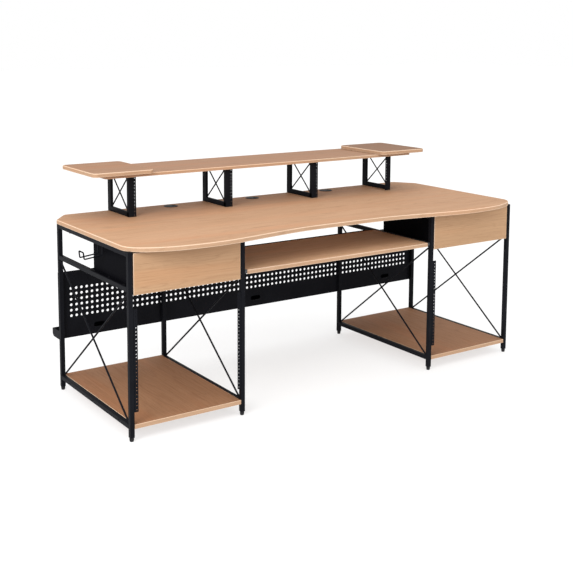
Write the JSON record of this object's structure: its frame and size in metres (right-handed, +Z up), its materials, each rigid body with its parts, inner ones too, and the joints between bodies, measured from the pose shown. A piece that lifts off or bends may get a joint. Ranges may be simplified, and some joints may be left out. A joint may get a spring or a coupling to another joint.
{
  "type": "studio desk with keyboard tray",
  "caption": "Wide desk on square-tube pedestals with crossed rods, sliding keyboard tray, drawers, perforated back panel with cable trough, and a raised hutch shelf.",
  "frame": {"origin": "on the floor under the centre of the whole object's box, headphone hook included", "axes": "+X to the user's right along the desktop, +Y away from the user, +Z up; the user sits on the -Y side"},
  "size_m": [2.1504, 0.986, 0.9853],
  "materials": {
    "wood_board": "light oak-look boards with a satin surface and paler softened edges",
    "black_steel": "black powder coat, fine texture, satin",
    "slide_steel": "black-zinc plated slide steel",
    "black_plastic": "matt black moulding"
  },
  "bodies": {
    "desk": {"side_frame_left_outer": "black_steel", "brace_rising_left_outer": "black_steel", "brace_falling_left_outer": "black_steel", "foot_front_left_outer": "black_plastic", "foot_rear_left_outer": "black_plastic", "side_frame_left_inner": "black_steel", "brace_rising_left_inner": "black_steel", "brace_falling_left_inner": "black_steel", "foot_front_left_inner": "black_plastic", "foot_rear_left_inner": "black_plastic", "side_frame_right_inner": "black_steel", "brace_rising_right_inner": "black_steel", "brace_falling_right_inner": "black_steel", "foot_front_right_inner": "black_plastic", "foot_rear_right_inner": "black_plastic", "side_frame_right_outer": "black_steel", "brace_rising_right_outer": "black_steel", "brace_falling_right_outer": "black_steel", "foot_front_right_outer": "black_plastic", "foot_rear_right_outer": "black_plastic", "desktop": "wood_board", "cable_grommet_left": "black_plastic", "cable_grommet_middle": "black_plastic", "cable_grommet_right": "black_plastic", "lower_shelf_left": "wood_board", "rack_strip_left_a": "black_steel", "drawer_hanger_left_a": "black_steel", "drawer_slide_left_a": "slide_steel", "rack_strip_left_b": "black_steel", "drawer_hanger_left_b": "black_steel", "drawer_slide_left_b": "slide_steel", "lower_shelf_right": "wood_board", "rack_strip_right_a": "black_steel", "drawer_hanger_right_a": "black_steel", "drawer_slide_right_a": "slide_steel", "rack_strip_right_b": "black_steel", "drawer_hanger_right_b": "black_steel", "drawer_slide_right_b": "slide_steel", "tray_slide_outer_left": "slide_steel", "tray_slide_outer_right": "slide_steel", "modesty_panel": "black_steel", "headphone_hook": "black_steel", "hutch_support_1": "black_steel", "hutch_brace_1": "black_steel", "hutch_support_2": "black_steel", "hutch_brace_2": "black_steel", "hutch_support_3": "black_steel", "hutch_brace_3": "black_steel", "hutch_support_4": "black_steel", "hutch_brace_4": "black_steel", "hutch_shelf": "wood_board", "speaker_platform_left": "wood_board", "speaker_platform_right": "wood_board"},
    "keyboard_tray": {"keyboard_tray": "wood_board", "tray_slide_inner_left": "slide_steel", "tray_slide_inner_right": "slide_steel"},
    "left_drawer": {"drawer_front_left": "wood_board", "drawer_box_left": "black_steel"},
    "right_drawer": {"drawer_front_right": "wood_board", "drawer_box_right": "black_steel"}
  },
  "joints": [
    {"name": "tray_slide", "type": "slide", "parent": "desk", "child": "keyboard_tray", "axis": [0, -1, 0], "range_m": [0, 0.3]},
    {"name": "left_drawer_slide", "type": "slide", "parent": "desk", "child": "left_drawer", "axis": [0, -1, 0], "range_m": [0, 0.25]},
    {"name": "right_drawer_slide", "type": "slide", "parent": "desk", "child": "right_drawer", "axis": [0, -1, 0], "range_m": [0, 0.25]}
  ]
}
